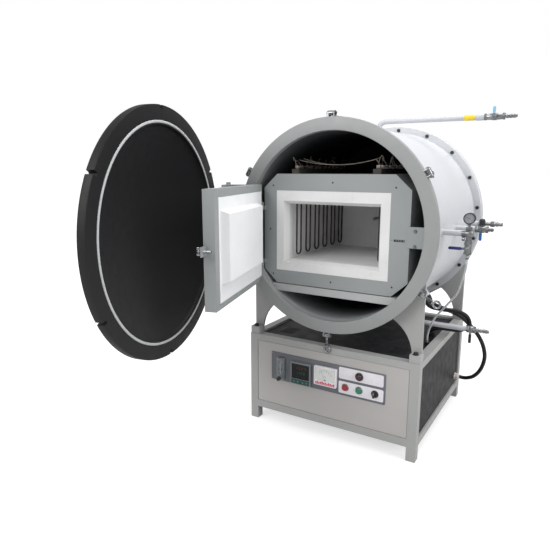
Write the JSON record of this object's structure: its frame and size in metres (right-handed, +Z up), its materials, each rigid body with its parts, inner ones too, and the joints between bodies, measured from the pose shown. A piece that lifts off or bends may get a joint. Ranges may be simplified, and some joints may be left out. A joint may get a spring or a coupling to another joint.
{
  "type": "atmosphere box furnace",
  "caption": "Fibre-lined box furnace inside a horizontal gas-tight vessel with a dished swing lid and inner door, on a cabinet with controls, pipes and valves.",
  "frame": {"origin": "middle of the footprint on the floor, measured without the hose and cables", "axes": "+X right seen from the front, +Y from the front towards the rear cover, +Z up"},
  "size_m": [1.1144, 1.772, 1.329],
  "materials": {
    "frame_paint": "light grey powder coat",
    "panel_paint": "light grey powder coat",
    "dark_paint": "dark grey powder coat",
    "fascia_paint": "dark grey panel, satin",
    "shell_paint": "near-white satin paint",
    "flange_paint": "light grey satin paint",
    "lid_paint": "charcoal powder coat",
    "gasket_rubber": "pale grey silicone",
    "box_paint": "light grey paint on steel sheet",
    "fibre_board": "matt white ceramic fibre board",
    "heater_metal": "dark oxidised heater rods",
    "bright_steel": "stainless steel",
    "chrome_metal": "polished plated steel",
    "black_plastic": "black moulded plastic",
    "white_plastic": "white moulded plastic",
    "clear_plastic": "clear acrylic",
    "red_plastic": "red cap",
    "green_plastic": "green cap",
    "terminal_ceramic": "unglazed insulator ceramic",
    "pale_blue_plastic": "pale blue dipped lever",
    "navy_plastic": "navy dipped lever",
    "blue_plastic": "blue dipped lever",
    "clear_hose": "clear flexible hose",
    "cable_rubber": "black cable sheath",
    "gland_plastic": "pale nylon"
  },
  "bodies": {
    "vessel_and_stand": {"stand_frame": "frame_paint", "front_panel": "panel_paint", "control_fascia": "fascia_paint", "temperature_controller": "black_plastic", "ammeter": "white_plastic", "flowmeter_body": "clear_plastic", "alarm_buzzer": "black_plastic", "left_side_panel": "dark_paint", "right_side_panel": "dark_paint", "cable_gland": "gland_plastic", "rear_panel": "dark_paint", "bottom_panel": "dark_paint", "top_deck": "dark_paint", "front_saddle": "frame_paint", "rear_saddle": "frame_paint", "vessel_shell": "shell_paint", "front_flange": "flange_paint", "rear_flange": "flange_paint", "rear_cover": "shell_paint", "furnace_box": "box_paint", "chamber_lining": "fibre_board", "left_heating_elements": "heater_metal", "right_heating_elements": "heater_metal", "left_terminals": "terminal_ceramic", "right_terminals": "terminal_ceramic", "thermocouple": "bright_steel", "box_shelf": "box_paint", "box_bracket": "box_paint", "lid_hinge_bracket": "flange_paint", "vent_pipe": "bright_steel", "gas_manifold": "bright_steel", "pressure_gauge": "bright_steel", "exhaust_pipe": "bright_steel", "rear_side_pipe": "bright_steel", "vacuum_pipe": "bright_steel", "gas_hose": "clear_hose", "power_cable": "cable_rubber", "element_cable": "cable_rubber"},
    "lid": {"lid_shell": "lid_paint", "lid_gasket": "gasket_rubber", "lid_hinge_arm": "lid_paint"},
    "inner_door": {"inner_door_shell": "box_paint", "inner_door_fibre": "fibre_board"},
    "latch_screw": {"door_latch_screw": "chrome_metal"},
    "vent_lever": {"vent_valve_lever": "pale_blue_plastic"},
    "manifold_lever": {"manifold_valve_lever": "navy_plastic"},
    "exhaust_lever": {"exhaust_valve_lever": "blue_plastic"},
    "vacuum_lever": {"vacuum_valve_lever": "black_plastic"},
    "relief_knob_body": {"relief_knob": "black_plastic"},
    "flow_knob_body": {"flowmeter_knob": "black_plastic"},
    "stop_cap": {"stop_button": "red_plastic"},
    "start_cap": {"start_button": "green_plastic"},
    "selector_body": {"selector_switch": "black_plastic"},
    "swing_bolt_upper_right_body": {"swing_bolt_upper_right": "chrome_metal"},
    "swing_bolt_top_body": {"swing_bolt_top": "chrome_metal"},
    "swing_bolt_upper_left_body": {"swing_bolt_upper_left": "chrome_metal"},
    "swing_bolt_lower_left_body": {"swing_bolt_lower_left": "chrome_metal"},
    "swing_bolt_bottom_body": {"swing_bolt_bottom": "chrome_metal"},
    "swing_bolt_lower_right_body": {"swing_bolt_lower_right": "chrome_metal"}
  },
  "joints": [
    {"name": "lid_hinge", "type": "hinge", "parent": "vessel_and_stand", "child": "lid", "pos_m": [-0.48536, 0.01445, 0.866], "axis": [0, 0, -1], "range_deg": [-76.7, 13.3]},
    {"name": "inner_door_hinge", "type": "hinge", "parent": "vessel_and_stand", "child": "inner_door", "pos_m": [-0.31276, 0.01145, 0.866], "axis": [0, 0, -1], "range_deg": [-73.5, 12.8]},
    {"name": "latch_turn", "type": "hinge", "parent": "inner_door", "child": "latch_screw", "pos_m": [-0.17781, -0.54097, 0.836], "axis": [0.9588, 0.284, 0], "continuous": true},
    {"name": "swing_bolt_upper_right_swing", "type": "hinge", "parent": "vessel_and_stand", "child": "swing_bolt_upper_right_body", "pos_m": [0.3627, -0.00055, 1.077], "axis": [-0.5, 0, 0.866], "range_deg": [-190, 0]},
    {"name": "swing_bolt_top_swing", "type": "hinge", "parent": "vessel_and_stand", "child": "swing_bolt_top_body", "pos_m": [-0.00276, -0.00055, 1.288], "axis": [-1, 0, 0], "range_deg": [-190, 0]},
    {"name": "swing_bolt_upper_left_swing", "type": "hinge", "parent": "vessel_and_stand", "child": "swing_bolt_upper_left_body", "pos_m": [-0.36823, -0.00055, 1.077], "axis": [-0.5, 0, -0.866], "range_deg": [-190, 0]},
    {"name": "swing_bolt_lower_left_swing", "type": "hinge", "parent": "vessel_and_stand", "child": "swing_bolt_lower_left_body", "pos_m": [-0.36823, -0.00055, 0.655], "axis": [0.5, 0, -0.866], "range_deg": [-90, 55]},
    {"name": "swing_bolt_bottom_swing", "type": "hinge", "parent": "vessel_and_stand", "child": "swing_bolt_bottom_body", "pos_m": [-0.00276, -0.00055, 0.444], "axis": [1, 0, 0], "range_deg": [-90, 2]},
    {"name": "swing_bolt_lower_right_swing", "type": "hinge", "parent": "vessel_and_stand", "child": "swing_bolt_lower_right_body", "pos_m": [0.3627, -0.00055, 0.655], "axis": [0.5, 0, 0.866], "range_deg": [-90, 55]},
    {"name": "vent_lever_turn", "type": "hinge", "parent": "vessel_and_stand", "child": "vent_lever", "pos_m": [0.47524, 0.46145, 1.291], "axis": [0, 1, 0], "range_deg": [0, 90]},
    {"name": "manifold_lever_turn", "type": "hinge", "parent": "vessel_and_stand", "child": "manifold_lever", "pos_m": [0.47724, 0.11345, 0.812], "axis": [0, -1, 0], "range_deg": [0, 90]},
    {"name": "exhaust_lever_turn", "type": "hinge", "parent": "vessel_and_stand", "child": "exhaust_lever", "pos_m": [0.48374, 0.32245, 0.859], "axis": [0, -1, 0], "range_deg": [0, 90]},
    {"name": "vacuum_lever_turn", "type": "hinge", "parent": "vessel_and_stand", "child": "vacuum_lever", "pos_m": [0.47124, 0.33845, 0.449], "axis": [0, -1, 0], "range_deg": [0, 90]},
    {"name": "relief_knob_turn", "type": "hinge", "parent": "vessel_and_stand", "child": "relief_knob_body", "pos_m": [0.48374, 0.34245, 0.886], "axis": [0, 0, 1], "continuous": true},
    {"name": "flow_knob_turn", "type": "hinge", "parent": "vessel_and_stand", "child": "flow_knob_body", "pos_m": [-0.21376, -0.01555, 0.222], "axis": [0, 1, 0], "continuous": true},
    {"name": "stop_press", "type": "slide", "parent": "vessel_and_stand", "child": "stop_cap", "axis": [0, 1, 0], "range_m": [0, 0.003], "stiffness_N_per_m": 300},
    {"name": "start_press", "type": "slide", "parent": "vessel_and_stand", "child": "start_cap", "axis": [0, 1, 0], "range_m": [0, 0.003], "stiffness_N_per_m": 300},
    {"name": "selector_turn", "type": "hinge", "parent": "vessel_and_stand", "child": "selector_body", "pos_m": [0.20124, -0.00055, 0.24], "axis": [0, 1, 0], "range_deg": [0, 90]}
  ],
  "couplings": [
    {"joint": "inner_door_hinge", "follows": "lid_hinge", "ratio": 0.95828}
  ]
}
